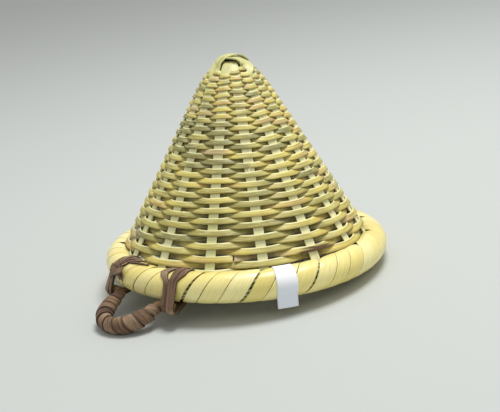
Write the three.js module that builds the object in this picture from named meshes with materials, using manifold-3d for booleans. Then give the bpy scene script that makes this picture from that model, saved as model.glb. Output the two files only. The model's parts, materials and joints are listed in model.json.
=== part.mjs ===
// A conical basket of split bamboo, standing on its mouth: fifteen upright stakes, some of them
// bent over the top, flat weavers wound round them, a thick bound rim, and a hanging loop of
// bark-wrapped cane whose two feet are lashed under the rim.
//
// Lengths are in millimetres and angles in degrees. An azimuth is measured about the basket's own
// upright axis from -Y towards +X, so azimuth 0 is the front. The basket is modelled upright, with
// the mouth in the plane z = 0. The group that holds it then leans back a little, because the loop
// lies under the front left of the rim and lifts it, and its lowest points stand on z = 0.

import * as THREE from "three";
import Module from "manifold-3d";
import { mergeVertices } from "three/addons/utils/BufferGeometryUtils.js";

// Rim
const RIM_DIAMETER = 250;
const RIM_TUBE_RADIUS = 12.5;
const RIM_CORE_RADIUS = 10;
const RIM_SIDES = 10;
const HOOP_SEGMENTS = 45;
const RIM_RADIUS = RIM_DIAMETER / 2 - RIM_TUBE_RADIUS;

// Wall: a straight cone with a rounded crown
const WALL_SLOPE = 60.4;
const SHOULDER_RADIUS = 34;
const CROWN_HEIGHT = 181;

// Stakes
const STAKE_COUNT = 15;
const FIRST_STAKE = 7.3;
const STAKE_WIDTH = 8.5;
const STAKE_TOP_WIDTH = 4.8;
const STAKE_TOP_RADIUS = 18;
const STAKE_THICKNESS = 1.1;
const STAKE_FOOT_HEIGHT = 6;
const STAKE_TIP_RADIUS = 10;

// Distances from the axis at which a stake bends over the crown
const CROWN_BENDS = [29, 24.5, 21, 18, 14.5, 11.5, 10, 6.5, 4];

// Stakes that cross the crown: the numbers of the two legs, then how far the strip is lifted off
// the crown at each of LIFT_RADII, for the first leg and for the second. The lifted strips also
// lean to the right, by a share of their lift.
const CROSSING_RADIUS = 4;
const LIFT_RADII = [14.5, 11.5, 6.5, CROSSING_RADIUS, 0];
const CROSSING_STAKES = [
  { legs: [14, 7], lifts: [[0, 1.5, 1.5, 1.5, 1.5], [0, 1.5, 1.5, 1.5, 1.5]] },
  { legs: [3, 11], lifts: [[0, 1.5, 3, 3, 3], [0, 1.5, 3, 3, 3]] },
  { legs: [1, 9], lifts: [[0, 1.5, 4.5, 4.5, 4.5], [0, 1.5, 4.5, 4.5, 4.5]] },
  { legs: [13, 5], lifts: [[0, 3.6, 5.8, 6, 6], [0, 1.9, 5.8, 6, 6]] },
];
const LIFT_LEAN = 0.45;

// Weave: one line wound round the stakes from the top down, over one stake and under the next. A
// visit is one crossing of a stake, and visits are counted from the front stake near the top. The
// rounds lie closer together near the top, with PITCHES between them at PITCH_ROUNDS.
const FIRST_VISIT = -1;
const LINE_START = 188.2;
const PITCH_ROUNDS = [-1, 12, 18, 34, 37, 43];
const PITCHES = [3.15, 3.1, 4.1, 4.25, 5.4, 5.6];
const WEAVER_WIDTH = 5;
const WEAVER_THICKNESS = 1;
const ROUND_GAP = 0.4;
const WEAVE_BOTTOM = 13.5;

// Weavers: the flat strips that the line is made of, each with its last visit
const LAST_VISITS = [45, 104, 150, 196, 240, 280, 320, 360, 411, 461, 513, 563, 614, 645];
const WEAVER_END_GAP = 0.8;

// Rim binding: three long strips wound side by side all the way round the rim, each of them one
// turn for each stake
const BINDING_STRIPS = 3;
const BINDING_TURNS = STAKE_COUNT;
const BINDING_THICKNESS = 1;
const BINDING_GAP = 0.8;
const STAKE_NOTCH = 1;

// Hanging loop, in the plane of its hinge line: u runs along the line and v away from the rim
const LOOP_AZIMUTH = -48;
const HINGE_RADIUS = 121;
const HINGE_HEIGHT = -0.5;
const LOOP_DROOP = 25.2;
const LOOP_HALF_WIDTH = 23.5;
const LOOP_STRAIGHT = 10;
const LOOP_REACH = 34;
const FOOT_BEND_RADIUS = 6;
const FOOT_END = 41.5;
const LOOP_CORE_RADIUS = 4;
const WRAP_RADIUS = 6.2;
const WRAP_THICKNESS = 1.1;
const WRAP_TURNS = 10;
const WRAP_SIDES = 12;
const WRAP_START = 8.5;
const WRAP_GAP = 0.8;

// Lashings: straps round the rim and a foot of the loop, two on each side
const LASHING_WIDTH = 5.6;
const LASHING_THICKNESS = 1.3;
const LASHING_PLACES = [32.5, 38.7];
const LASHING_FOOT_ROOM = 5.5;
const LASHING_SLIT = 2.4;

// Blank paper tab folded over the rim
const TAB_AZIMUTH = 15;
const TAB_WIDTH = 18;
const TAB_THICKNESS = 0.5;
const TAB_HANG = 6;
const TAB_TOP_ANGLE = 100;
const TAB_LOW_ANGLE = -40;

// Rest: the basket leans back about the loop's hinge direction
const LEAN = 4.4;
const CLEARANCE = 0.35;

const COLOURS = {
  stake: 0xd9d6b0,
  weaver: 0xaea66c,
  hoop: 0x8f9a5c,
  binding: 0xd8cf84,
  bark: 0x6f5c46,
  cane: 0x8a6a45,
  paper: 0xfafafa,
};

function radians(degrees) {
  return (degrees * Math.PI) / 180;
}

const UP = new THREE.Vector3(0, 0, 1);

// Unit vector that points away from the basket's axis at an azimuth
function outward(azimuth) {
  return new THREE.Vector3(Math.sin(radians(azimuth)), -Math.cos(radians(azimuth)), 0);
}

// Unit vector along the rim at an azimuth, towards larger azimuths
function along(azimuth) {
  return new THREE.Vector3(Math.cos(radians(azimuth)), Math.sin(radians(azimuth)), 0);
}

// Straight line value at x through the points of two lists
function interpolate(x, xs, ys) {
  for (let i = 1; i < xs.length; i += 1) {
    const low = Math.min(xs[i - 1], xs[i]);
    const high = Math.max(xs[i - 1], xs[i]);
    if (x >= low && x <= high) {
      return ys[i - 1] + ((ys[i] - ys[i - 1]) * (x - xs[i - 1])) / (xs[i] - xs[i - 1]);
    }
  }
  return (x - xs[0]) * (xs[xs.length - 1] - xs[0]) < 0 ? ys[0] : ys[ys.length - 1];
}

// A closed solid through a row of sections, each a list of corners in the same order. Open rows
// get a cap at each end, which suits convex sections.
function loft(sections, closed = false) {
  const sides = sections[0].length;
  const positions = [];
  for (const section of sections) {
    for (const corner of section) {
      positions.push(corner.x, corner.y, corner.z);
    }
  }
  const indices = [];
  const last = closed ? sections.length : sections.length - 1;
  for (let i = 0; i < last; i += 1) {
    const next = (i + 1) % sections.length;
    for (let j = 0; j < sides; j += 1) {
      const k = (j + 1) % sides;
      const a = i * sides + j;
      const b = i * sides + k;
      const c = next * sides + k;
      const d = next * sides + j;
      indices.push(a, b, c, a, c, d);
    }
  }
  if (!closed) {
    const end = (sections.length - 1) * sides;
    for (let j = 1; j < sides - 1; j += 1) {
      indices.push(0, j + 1, j);
      indices.push(end, end + j, end + j + 1);
    }
  }
  const geometry = new THREE.BufferGeometry();
  geometry.setAttribute("position", new THREE.Float32BufferAttribute(positions, 3));
  geometry.setIndex(signedVolume(positions, indices) < 0 ? indices.reverse() : indices);
  return geometry;
}

function signedVolume(positions, indices) {
  const corner = (i) => new THREE.Vector3().fromArray(positions, 3 * i);
  let volume = 0;
  for (let i = 0; i < indices.length; i += 3) {
    const a = corner(indices[i]);
    const b = corner(indices[i + 1]);
    const c = corner(indices[i + 2]);
    volume += a.dot(b.cross(c)) / 6;
  }
  return volume;
}

const basket = new THREE.Group();
const hangingLoop = new THREE.Group();
basket.add(hangingLoop);

function addPiece(group, name, geometry, colour, roughness = 0.6) {
  const material = new THREE.MeshStandardMaterial({ color: colour, roughness, metalness: 0 });
  const mesh = new THREE.Mesh(geometry, material);
  mesh.name = name;
  group.add(mesh);
  return mesh;
}

// The middle surface of the wall. It leaves the middle of the rim along a straight cone, and its
// crown is a power curve that meets the cone at the shoulder with the same slope.
const SLOPE_COS = Math.cos(radians(WALL_SLOPE));
const SLOPE_SIN = Math.sin(radians(WALL_SLOPE));
const SHOULDER_HEIGHT = RIM_TUBE_RADIUS + ((RIM_RADIUS - SHOULDER_RADIUS) * SLOPE_SIN) / SLOPE_COS;
const CROWN_DROP = CROWN_HEIGHT - SHOULDER_HEIGHT;
const CROWN_POWER = ((SLOPE_SIN / SLOPE_COS) * SHOULDER_RADIUS) / CROWN_DROP;

// Height, and outward normal as its radial and upright parts, at a distance from the axis
function wallAtRadius(radius) {
  if (radius >= SHOULDER_RADIUS) {
    const height = RIM_TUBE_RADIUS + ((RIM_RADIUS - radius) * SLOPE_SIN) / SLOPE_COS;
    return { radius, height, normal: [SLOPE_SIN, SLOPE_COS] };
  }
  const share = radius / SHOULDER_RADIUS;
  const height = CROWN_HEIGHT - CROWN_DROP * share ** CROWN_POWER;
  const slope = ((CROWN_DROP * CROWN_POWER) / SHOULDER_RADIUS) * share ** (CROWN_POWER - 1);
  const length = Math.hypot(slope, 1);
  return { radius, height, normal: [slope / length, 1 / length] };
}

// Distances measured up the wall from the middle of the rim, at small steps over the crown
const SHOULDER_DISTANCE = (RIM_RADIUS - SHOULDER_RADIUS) / SLOPE_COS;
const CROWN_STEP = 0.25;
const crownRadii = [];
const crownDistances = [];
let crownDistance = SHOULDER_DISTANCE;
for (let radius = SHOULDER_RADIUS; radius > STAKE_TIP_RADIUS; radius -= CROWN_STEP) {
  crownRadii.push(radius);
  crownDistances.push(crownDistance);
  const rise = wallAtRadius(radius - CROWN_STEP).height - wallAtRadius(radius).height;
  crownDistance += Math.hypot(CROWN_STEP, rise);
}

function radiusAtDistance(distance) {
  if (distance <= SHOULDER_DISTANCE) {
    return RIM_RADIUS - distance * SLOPE_COS;
  }
  return interpolate(distance, crownDistances, crownRadii);
}

// A point of the wall beside the middle of a stake: sideways along the rim, and out from the
// middle surface
function wallPoint(azimuth, radius, sideways, out) {
  const wall = wallAtRadius(radius);
  const point = outward(azimuth).multiplyScalar(wall.radius + out * wall.normal[0]);
  point.addScaledVector(along(azimuth), sideways);
  point.z = wall.height + out * wall.normal[1];
  return point;
}

function stakeAzimuth(number) {
  return FIRST_STAKE + (360 / STAKE_COUNT) * number;
}

function stakeWidth(radius) {
  return interpolate(
    radius,
    [STAKE_TOP_RADIUS, SHOULDER_RADIUS],
    [STAKE_TOP_WIDTH, STAKE_WIDTH],
  );
}

// Sections of one stake from its foot in the rim up to a smallest radius
const STAKE_FOOT_RADIUS =
  RIM_RADIUS + ((RIM_TUBE_RADIUS - STAKE_FOOT_HEIGHT) * SLOPE_COS) / SLOPE_SIN;
const STAKE_RADII = [STAKE_FOOT_RADIUS, SHOULDER_RADIUS, ...CROWN_BENDS];

function stakeSections(number, smallestRadius, lifts) {
  const azimuth = stakeAzimuth(number);
  const half = STAKE_THICKNESS / 2;
  const radii = STAKE_RADII.filter((radius) => radius >= smallestRadius);
  return radii.map((radius) => {
    const lift = radius > LIFT_RADII[0] ? 0 : interpolate(radius, LIFT_RADII, lifts);
    const corner = (side, face) => {
      const sideways = (side * stakeWidth(radius)) / 2;
      const point = wallPoint(azimuth, radius, sideways, lift + face * half);
      point.x += LIFT_LEAN * lift;
      return point;
    };
    return [corner(-1, -1), corner(1, -1), corner(1, 1), corner(-1, 1)];
  });
}

// Single stakes, whose tips are tucked under the crossing ones
const NO_LIFT = LIFT_RADII.map(() => 0);
const crossingLegs = CROSSING_STAKES.flatMap((stake) => stake.legs);
let singleStakes = 0;
for (let number = 0; number < STAKE_COUNT; number += 1) {
  if (!crossingLegs.includes(number)) {
    singleStakes += 1;
    const sections = stakeSections(number, STAKE_TIP_RADIUS, NO_LIFT);
    addPiece(basket, `single_stake_${singleStakes}`, loft(sections), COLOURS.stake);
  }
}

// Crossing stakes: up one leg, over the crown and down the other
CROSSING_STAKES.forEach((stake, index) => {
  const [first, second] = stake.legs;
  const [firstLifts, secondLifts] = stake.lifts;
  const up = stakeSections(first, CROSSING_RADIUS, firstLifts);
  const down = stakeSections(second, CROSSING_RADIUS, secondLifts).reverse();
  const swapSides = ([a, b, c, d]) => [b, a, d, c];
  const sideways = along(stakeAzimuth(first)).sub(along(stakeAzimuth(second))).normalize();
  sideways.multiplyScalar(STAKE_TOP_WIDTH / 2);
  const lift = firstLifts[firstLifts.length - 1];
  const top = [[-1, -1], [1, -1], [1, 1], [-1, 1]].map(([side, face]) => {
    const corner = sideways.clone().multiplyScalar(side);
    corner.x += LIFT_LEAN * lift;
    corner.z = CROWN_HEIGHT + lift + (face * STAKE_THICKNESS) / 2;
    return corner;
  });
  const sections = [...up, top, ...down.map(swapSides)];
  addPiece(basket, `crossing_stake_${index + 1}`, loft(sections), COLOURS.stake);
});

// Weavers. The line has two stations at each stake, one at each edge, and because the number of
// stakes is odd it changes sides by itself from one round to the next.
const WEAVE_OFFSET = STAKE_THICKNESS / 2 + CLEARANCE + WEAVER_THICKNESS / 2;

function pitchAt(round) {
  return interpolate(round, PITCH_ROUNDS, PITCHES);
}

// Distance of the line up the wall after a number of rounds
function lineDistance(round) {
  let distance = LINE_START;
  for (let i = 1; i < PITCH_ROUNDS.length && PITCH_ROUNDS[i - 1] < round; i += 1) {
    const start = PITCH_ROUNDS[i - 1];
    const end = Math.min(round, PITCH_ROUNDS[i]);
    distance -= ((end - start) * (pitchAt(start) + pitchAt(end))) / 2;
  }
  return distance;
}

function weaverSection(station) {
  const visit = Math.floor(station / 2);
  const side = 2 * (station - 2 * visit) - 1;
  const out = visit % 2 === 0 ? WEAVE_OFFSET : -WEAVE_OFFSET;
  const round = station / (2 * STAKE_COUNT);
  const half = Math.min(WEAVER_WIDTH, pitchAt(round) - ROUND_GAP) / 2;
  const corner = (rise, face) => {
    const distance = Math.max(lineDistance(round) + rise * half, WEAVE_BOTTOM);
    const radius = radiusAtDistance(distance);
    const sideways = side * (stakeWidth(radius) / 2 + CLEARANCE);
    const depth = out + (face * WEAVER_THICKNESS) / 2;
    return wallPoint(stakeAzimuth(visit), radius, sideways, depth);
  };
  return [corner(-1, -1), corner(1, -1), corner(1, 1), corner(-1, 1)];
}

function blendSections(a, b, share) {
  return a.map((corner, i) => corner.clone().lerp(b[i], share));
}

LAST_VISITS.forEach((lastVisit, strip) => {
  const first = 2 * (strip > 0 ? LAST_VISITS[strip - 1] + 1 : FIRST_VISIT);
  const last = 2 * lastVisit + 1;
  const sections = [];
  for (let station = first; station <= last; station += 1) {
    sections.push(weaverSection(station));
  }
  const after = weaverSection(last + 1);
  const room = sections[sections.length - 1][0].distanceTo(after[0]);
  const share = WEAVER_END_GAP / (2 * room);
  sections.push(blendSections(sections[sections.length - 1], after, 0.5 - share));
  if (strip > 0) {
    sections.unshift(blendSections(weaverSection(first - 1), sections[0], 0.5 + share));
  }
  const name = `weaver_${String(strip + 1).padStart(2, "0")}`;
  addPiece(basket, name, loft(sections), COLOURS.weaver, 0.65);
});

// A point of the rim's tube: angle 0 faces away from the basket's axis and 90 is the top
function rimPoint(azimuth, angle, radius) {
  const distance = RIM_RADIUS + radius * Math.cos(radians(angle));
  const point = outward(azimuth).multiplyScalar(distance);
  point.z = RIM_TUBE_RADIUS + radius * Math.sin(radians(angle));
  return point;
}

// Radius at the corners of a polygon whose flat sides stand at a distance
const FLAT_TO_CORNER = 1 / Math.cos(Math.PI / RIM_SIDES);
const SIDE_ANGLE = 360 / RIM_SIDES;

// Hoops: two half-round rings of splints, with the stakes' feet gripped between them. Their flat
// sides face each stake squarely, because three segments span one stake's share of the rim.
const SLOT_HALF = STAKE_THICKNESS / 2 + CLEARANCE;
const STAKE_ANGLE = 180 - WALL_SLOPE;

function hoop(side) {
  const facing = radians(STAKE_ANGLE - 90);
  const slotCorner = (angle) => [
    RIM_CORE_RADIUS * Math.cos(radians(angle)) + side * SLOT_HALF * Math.cos(facing),
    RIM_CORE_RADIUS * Math.sin(radians(angle)) + side * SLOT_HALF * Math.sin(facing),
  ];
  const start = side > 0 ? STAKE_ANGLE - 180 : STAKE_ANGLE;
  const firstCorner = Math.ceil(start / SIDE_ANGLE - 0.5);
  const reach = RIM_CORE_RADIUS * FLAT_TO_CORNER;
  const profile = [slotCorner(start)];
  for (let i = 0; i < RIM_SIDES / 2; i += 1) {
    const angle = radians(SIDE_ANGLE * (firstCorner + i + 0.5));
    profile.push([reach * Math.cos(angle), reach * Math.sin(angle)]);
  }
  profile.push(slotCorner(start + 180));
  const segment = 360 / HOOP_SEGMENTS;
  const widen = 1 / Math.cos(radians(segment / 2));
  const sections = [];
  for (let i = 0; i < HOOP_SEGMENTS; i += 1) {
    const azimuth = FIRST_STAKE + segment * (i + 0.5);
    sections.push(profile.map(([across, rise]) => {
      const point = outward(azimuth).multiplyScalar((RIM_RADIUS + across) * widen);
      point.z = RIM_TUBE_RADIUS + rise;
      return point;
    }));
  }
  return loft(sections, true);
}

addPiece(basket, "rim_outer_hoop", hoop(1), COLOURS.hoop, 0.55);
addPiece(basket, "rim_inner_hoop", hoop(-1), COLOURS.hoop, 0.55);

// A flat strip wound round a tube: a list of sections whose edges lie at a place along the tube
// minus and plus half the strip's width
function windingSections(count, placeAt, edgesAt, tubePoint, inner, outer) {
  const sections = [];
  for (let step = 0; step < count; step += 1) {
    const [place, angle] = placeAt(step);
    const [before, after] = edgesAt(step);
    sections.push([
      tubePoint(place - before, angle, inner),
      tubePoint(place - before, angle, outer),
      tubePoint(place + after, angle, outer),
      tubePoint(place + after, angle, inner),
    ]);
  }
  return sections;
}

// The least distance between a wound strip's edge and the next turn's edge beside it
function leastGap(sections, stepsPerTurn) {
  let least = Infinity;
  for (let i = 0; i + stepsPerTurn < sections.length; i += 1) {
    const here = sections[i];
    const next = sections[i + stepsPerTurn];
    least = Math.min(least, here[3].distanceTo(next[0]), here[2].distanceTo(next[1]));
  }
  return least;
}

// Rim binding. Each stake enters the rim between the last strip and the first one, and the turns
// on both sides of it are notched there.
const TURN_ANGLE = 360 / BINDING_TURNS;
const STRIP_ANGLE = TURN_ANGLE / BINDING_STRIPS;
const GAP_ANGLE = (BINDING_GAP / RIM_RADIUS) * (180 / Math.PI);
const BINDING_OUTER = RIM_TUBE_RADIUS * FLAT_TO_CORNER;
const BINDING_INNER = (RIM_TUBE_RADIUS - BINDING_THICKNESS) * FLAT_TO_CORNER;
const BINDING_START = 180;
const NOTCH_WIDTH = STAKE_WIDTH / 2 + STAKE_NOTCH;
const NOTCH_RADIUS = RIM_RADIUS + RIM_TUBE_RADIUS * Math.cos(radians(STAKE_ANGLE));
const NOTCH_ANGLE = (NOTCH_WIDTH / NOTCH_RADIUS) * (180 / Math.PI);

for (let strip = 0; strip < BINDING_STRIPS; strip += 1) {
  const stepAngle = TURN_ANGLE / RIM_SIDES;
  const stepsToStake = (STAKE_ANGLE + 360 - BINDING_START) / SIDE_ANGLE;
  const firstPlace = FIRST_STAKE + STRIP_ANGLE * (strip + 0.5) - stepsToStake * stepAngle;
  const placeAt = (step) => [
    firstPlace + step * stepAngle,
    BINDING_START + step * SIDE_ANGLE,
  ];
  const edgesAt = (step) => {
    const full = (STRIP_ANGLE - GAP_ANGLE) / 2;
    const angle = (BINDING_START + step * SIDE_ANGLE) % 360;
    const notched = Math.abs(angle - STAKE_ANGLE) > SIDE_ANGLE
      ? full
      : STRIP_ANGLE / 2 - NOTCH_ANGLE;
    return [strip === 0 ? notched : full, strip === BINDING_STRIPS - 1 ? notched : full];
  };
  const count = BINDING_TURNS * RIM_SIDES;
  const sections = windingSections(count, placeAt, edgesAt, rimPoint, BINDING_INNER,
    BINDING_OUTER);
  const name = `rim_binding_${strip + 1}`;
  console.log(name, "least gap to itself", leastGap(sections, RIM_SIDES).toFixed(2), "mm");
  addPiece(basket, name, loft(sections), COLOURS.binding, 0.45);
}

// Hanging loop. Its centre line is a foot, a tight bend, a leg and half an oval, then the same
// the other way round, all in one plane that droops from the hinge line.
const HINGE_POINT = outward(LOOP_AZIMUTH).multiplyScalar(HINGE_RADIUS).setZ(HINGE_HEIGHT);
const LOOP_SIDEWAYS = along(LOOP_AZIMUTH);
const LOOP_AWAY = outward(LOOP_AZIMUTH).multiplyScalar(Math.cos(radians(LOOP_DROOP)));
LOOP_AWAY.z = -Math.sin(radians(LOOP_DROOP));
const LOOP_NORMAL = new THREE.Vector3().crossVectors(LOOP_SIDEWAYS, LOOP_AWAY);

function loopPlanePoint(u, v) {
  return HINGE_POINT.clone().addScaledVector(LOOP_SIDEWAYS, u).addScaledVector(LOOP_AWAY, v);
}

// Half of the centre line in u and v, from the end of a foot to the tip of the loop
const BEND_STEPS = 4;
const OVAL_STEPS = 8;
const halfLine = [[-FOOT_END, 0]];
for (let i = 0; i <= BEND_STEPS; i += 1) {
  const angle = radians((90 * i) / BEND_STEPS);
  halfLine.push([
    -LOOP_HALF_WIDTH - FOOT_BEND_RADIUS * (1 - Math.sin(angle)),
    FOOT_BEND_RADIUS * (1 - Math.cos(angle)),
  ]);
}
for (let i = 0; i <= OVAL_STEPS; i += 1) {
  const angle = radians((90 * i) / OVAL_STEPS);
  halfLine.push([
    -LOOP_HALF_WIDTH * Math.cos(angle),
    LOOP_STRAIGHT + (LOOP_REACH - LOOP_STRAIGHT) * Math.sin(angle),
  ]);
}
const otherHalf = halfLine.slice(0, -1).map(([u, v]) => [-u, v]).reverse();
const loopLine = [...halfLine, ...otherHalf];

// Direction across the line at one of its points, in the loop's plane, away from its inside
function acrossLine(index) {
  const [u0, v0] = loopLine[Math.max(index - 1, 0)];
  const [u1, v1] = loopLine[Math.min(index + 1, loopLine.length - 1)];
  const length = Math.hypot(u1 - u0, v1 - v0);
  const across = new THREE.Vector3();
  across.addScaledVector(LOOP_SIDEWAYS, -(v1 - v0) / length);
  across.addScaledVector(LOOP_AWAY, (u1 - u0) / length);
  return across;
}

const CORE_SIDES = 8;
const coreSections = loopLine.map(([u, v], index) => {
  const centre = loopPlanePoint(u, v);
  const across = acrossLine(index);
  const section = [];
  for (let side = 0; side < CORE_SIDES; side += 1) {
    const angle = (2 * Math.PI * (side + 0.5)) / CORE_SIDES;
    const corner = centre.clone().addScaledVector(across, LOOP_CORE_RADIUS * Math.cos(angle));
    section.push(corner.addScaledVector(LOOP_NORMAL, LOOP_CORE_RADIUS * Math.sin(angle)));
  }
  return section;
});
addPiece(hangingLoop, "loop_core", loft(coreSections), COLOURS.cane, 0.6);

// The wrap winds along the oval stretch between the two legs
const lineLengths = [0];
for (let i = 1; i < loopLine.length; i += 1) {
  const [u0, v0] = loopLine[i - 1];
  const [u1, v1] = loopLine[i];
  lineLengths.push(lineLengths[i - 1] + Math.hypot(u1 - u0, v1 - v0));
}
const LEG_START = lineLengths[BEND_STEPS + 1] + WRAP_START - FOOT_BEND_RADIUS;
const LEG_END = lineLengths[lineLengths.length - 1] - LEG_START;
const WRAP_PITCH = (LEG_END - LEG_START) / (WRAP_TURNS + 1);

function wrapPoint(distance, angle, radius) {
  const us = loopLine.map(([u]) => u);
  const vs = loopLine.map(([, v]) => v);
  const centre = loopPlanePoint(
    interpolate(distance, lineLengths, us),
    interpolate(distance, lineLengths, vs),
  );
  const ahead = Math.min(distance + WRAP_PITCH / 2, LEG_END);
  const behind = Math.max(distance - WRAP_PITCH / 2, LEG_START);
  const run = loopPlanePoint(
    interpolate(ahead, lineLengths, us),
    interpolate(ahead, lineLengths, vs),
  ).sub(loopPlanePoint(
    interpolate(behind, lineLengths, us),
    interpolate(behind, lineLengths, vs),
  )).normalize();
  const across = new THREE.Vector3().crossVectors(LOOP_NORMAL, run);
  centre.addScaledVector(across, radius * Math.cos(radians(angle)));
  return centre.addScaledVector(LOOP_NORMAL, radius * Math.sin(radians(angle)));
}

const WRAP_STEPS = WRAP_TURNS * WRAP_SIDES + 1;
const wrapSections = windingSections(
  WRAP_STEPS,
  (step) => [
    LEG_START + WRAP_PITCH * (0.5 + step / WRAP_SIDES),
    (360 * step) / WRAP_SIDES,
  ],
  () => [(WRAP_PITCH - WRAP_GAP) / 2, (WRAP_PITCH - WRAP_GAP) / 2],
  wrapPoint,
  WRAP_RADIUS - WRAP_THICKNESS,
  WRAP_RADIUS,
);
console.log("loop_wrap least gap to itself", leastGap(wrapSections, WRAP_SIDES).toFixed(2), "mm");
const loopWrap = addPiece(hangingLoop, "loop_wrap", loft(wrapSections), COLOURS.bark, 0.75);

// Lashings. Each strap starts at the outer face of the wall, runs over the rim and the foot of
// the loop, and ends at the inner face of the wall just above the rim. It stops short of the weave.
const STRAP_CLEAR = BINDING_OUTER + 2 * CLEARANCE;
const STRAP_STEP = 20;

function strapPath(azimuth, footRadius) {
  const foot = HINGE_RADIUS / Math.cos(radians(azimuth - LOOP_AZIMUTH)) - RIM_RADIUS;
  const drop = HINGE_HEIGHT - RIM_TUBE_RADIUS;
  const reach = Math.hypot(foot, drop);
  const facing = (Math.atan2(drop, foot) * 180) / Math.PI;
  const lean = (Math.asin((STRAP_CLEAR - footRadius) / reach) * 180) / Math.PI;
  const slit = (LASHING_SLIT / STRAP_CLEAR) * (180 / Math.PI);
  const points = [];
  const circle = (x, y, radius, from, to) => {
    const steps = Math.ceil(Math.abs(to - from) / STRAP_STEP);
    for (let i = 0; i <= steps; i += 1) {
      const angle = from + ((to - from) * i) / steps;
      points.push({ x, y, radius, angle });
    }
  };
  circle(0, 0, STRAP_CLEAR, STAKE_ANGLE - slit, facing + 90 - lean);
  circle(foot, drop, footRadius, facing + 90 - lean, facing - 90 + lean);
  circle(0, 0, STRAP_CLEAR, facing - 90 + lean, STAKE_ANGLE + slit - 360);
  return points;
}

function strap(azimuth) {
  const sections = strapPath(azimuth, LASHING_FOOT_ROOM).map(({ x, y, radius, angle }) => {
    const spread = 1 / Math.cos(radians(STRAP_STEP / 2));
    const corner = (sideways, distance) => {
      const reach = distance * spread;
      const point = outward(azimuth);
      point.multiplyScalar(RIM_RADIUS + x + reach * Math.cos(radians(angle)));
      point.addScaledVector(along(azimuth), sideways);
      point.z = RIM_TUBE_RADIUS + y + reach * Math.sin(radians(angle));
      return point;
    };
    const half = LASHING_WIDTH / 2;
    return [
      corner(-half, radius),
      corner(half, radius),
      corner(half, radius + LASHING_THICKNESS),
      corner(-half, radius + LASHING_THICKNESS),
    ];
  });
  return loft(sections);
}

for (const [side, label] of [[-1, "left"], [1, "right"]]) {
  LASHING_PLACES.forEach((place, index) => {
    const turn = (Math.asin(place / RIM_RADIUS) * 180) / Math.PI;
    const azimuth = LOOP_AZIMUTH + side * turn;
    addPiece(basket, `${label}_lashing_${index + 1}`, strap(azimuth), COLOURS.bark, 0.75);
  });
}

// Paper tab: over the top of the rim, down its outer side, and a short free end below
const TAB_RADIUS = BINDING_OUTER + CLEARANCE;
const TAB_STEPS = 7;
const TAB_STRETCHES = 4;
const tabAngle = (TAB_WIDTH / (RIM_DIAMETER / 2)) * (180 / Math.PI);

function tabStrip(azimuth, face) {
  const radius = TAB_RADIUS + face * TAB_THICKNESS;
  const points = [];
  for (let i = 0; i <= TAB_STEPS; i += 1) {
    const angle = TAB_TOP_ANGLE + ((TAB_LOW_ANGLE - TAB_TOP_ANGLE) * i) / TAB_STEPS;
    points.push(rimPoint(azimuth, angle, radius));
  }
  const end = points[points.length - 1].clone();
  end.z = -TAB_HANG;
  points.push(end);
  return points;
}

const tabSections = [];
for (let i = 0; i <= TAB_STRETCHES; i += 1) {
  const azimuth = TAB_AZIMUTH + tabAngle * (i / TAB_STRETCHES - 0.5);
  tabSections.push([...tabStrip(azimuth, 0), ...tabStrip(azimuth, 1).reverse()]);
}
const tabRows = tabSections[0].length;
const tabPath = [];
for (let row = 0; row < tabRows / 2; row += 1) {
  const inner = tabSections.map((section) => section[row]);
  const outer = tabSections.map((section) => section[tabRows - 1 - row]).reverse();
  tabPath.push([...inner, ...outer]);
}
addPiece(basket, "paper_tab", loft(tabPath), COLOURS.paper, 0.8);

// Rest. The basket leans back about the loop's hinge direction, and the whole is set down with
// the rim's lowest flat on the floor. The wrap is then cut flat where it meets the floor.
const model = new THREE.Group();
model.add(basket);
const leanAxis = new THREE.Vector3().crossVectors(outward(LOOP_AZIMUTH), UP);
basket.quaternion.setFromAxisAngle(leanAxis, radians(LEAN));
model.updateMatrixWorld(true);

function worldBox(filter) {
  const box = new THREE.Box3();
  basket.traverse((mesh) => {
    if (mesh.isMesh && filter(mesh.name)) {
      box.union(new THREE.Box3().setFromObject(mesh, true));
    }
  });
  return box;
}

basket.position.z = -worldBox((name) => name.startsWith("rim_binding")).min.z;
model.updateMatrixWorld(true);

const wasm = await Module();
wasm.setup();

function toManifold(geometry) {
  const merged = geometry.clone();
  merged.deleteAttribute("normal");
  merged.deleteAttribute("uv");
  const welded = mergeVertices(merged);
  return new wasm.Manifold(new wasm.Mesh({
    numProp: 3,
    vertProperties: new Float32Array(welded.attributes.position.array),
    triVerts: new Uint32Array(welded.index.array),
  }));
}

function fromManifold(solid) {
  const mesh = solid.getMesh();
  const geometry = new THREE.BufferGeometry();
  geometry.setAttribute("position", new THREE.Float32BufferAttribute(mesh.vertProperties, 3));
  geometry.setIndex(Array.from(mesh.triVerts));
  return geometry;
}

const CUT_SIZE = 400;
const wrapDepth = -worldBox((name) => name === "loop_wrap").min.z;
console.log("loop_wrap cut flat", wrapDepth.toFixed(2), "mm deep");
const belowFloor = new THREE.BoxGeometry(CUT_SIZE, CUT_SIZE, CUT_SIZE);
belowFloor.translate(0, 0, -CUT_SIZE / 2);
belowFloor.applyMatrix4(loopWrap.matrixWorld.clone().invert());
loopWrap.geometry = fromManifold(toManifold(loopWrap.geometry).subtract(toManifold(belowFloor)));

// Origin: under the middle of the whole, on the floor
const whole = worldBox(() => true);
const middle = whole.getCenter(new THREE.Vector3());
basket.position.x -= middle.x;
basket.position.y -= middle.y;
basket.position.z -= whole.min.z;
model.updateMatrixWorld(true);

const hinge = basket.localToWorld(HINGE_POINT.clone());
console.log("hinge point", hinge.toArray().map((value) => value.toFixed(3)).join(", "));
console.log("hinge axis", leanAxis.toArray().map((value) => value.toFixed(5)).join(", "));

export default model;
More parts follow.
